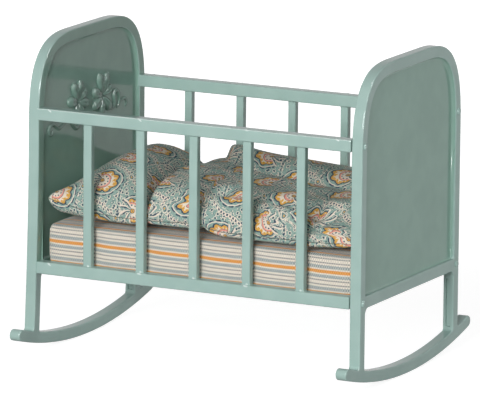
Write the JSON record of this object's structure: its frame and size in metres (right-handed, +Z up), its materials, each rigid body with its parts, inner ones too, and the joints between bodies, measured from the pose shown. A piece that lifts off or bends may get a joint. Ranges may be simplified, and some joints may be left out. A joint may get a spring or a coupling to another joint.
{
  "type": "doll cradle",
  "caption": "Rocking cradle for a doll: two arched enamelled metal ends on curved rockers, barred sides, a base sheet, a mattress, a pillow and a duvet.",
  "frame": {"origin": "on the floor, midway between the two ends and the two sides", "axes": "+X from the head end to the foot end, +Y from the front side to the back side, +Z up"},
  "size_m": [0.1218, 0.094, 0.1044],
  "materials": {
    "enamel": "glossy sage green stove enamel on brazed metal",
    "ticking": "woven striped cotton, cream with grey-blue and orange",
    "print": "printed cotton, small traditional paisley on grey-green"
  },
  "bodies": {
    "cradle": {"head_bow": "enamel", "head_cross_rail": "enamel", "head_panel": "enamel", "head_rocker": "enamel", "foot_bow": "enamel", "foot_cross_rail": "enamel", "foot_panel": "enamel", "foot_rocker": "enamel", "head_rivet_front_top": "enamel", "head_rivet_front_bottom": "enamel", "head_rivet_back_top": "enamel", "head_rivet_back_bottom": "enamel", "foot_rivet_front_top": "enamel", "foot_rivet_front_bottom": "enamel", "foot_rivet_back_top": "enamel", "foot_rivet_back_bottom": "enamel", "front_top_rail": "enamel", "front_bottom_rail": "enamel", "back_top_rail": "enamel", "back_bottom_rail": "enamel", "front_spindle_1": "enamel", "front_spindle_2": "enamel", "front_spindle_3": "enamel", "front_spindle_4": "enamel", "front_spindle_5": "enamel", "back_spindle_1": "enamel", "back_spindle_2": "enamel", "back_spindle_3": "enamel", "back_spindle_4": "enamel", "back_spindle_5": "enamel", "base_sheet": "enamel"},
    "mattress": {"mattress": "ticking"},
    "pillow": {"pillow": "print"},
    "duvet": {"duvet": "print"}
  },
  "joints": [
    {"name": "mattress_lift", "type": "slide", "parent": "cradle", "child": "mattress", "axis": [0, 0, 1], "range_m": [0, 0.078]},
    {"name": "pillow_lift", "type": "slide", "parent": "mattress", "child": "pillow", "axis": [0, 0, 1], "range_m": [0, 0.064]},
    {"name": "duvet_lift", "type": "slide", "parent": "mattress", "child": "duvet", "axis": [0, 0, 1], "range_m": [0, 0.064]}
  ]
}
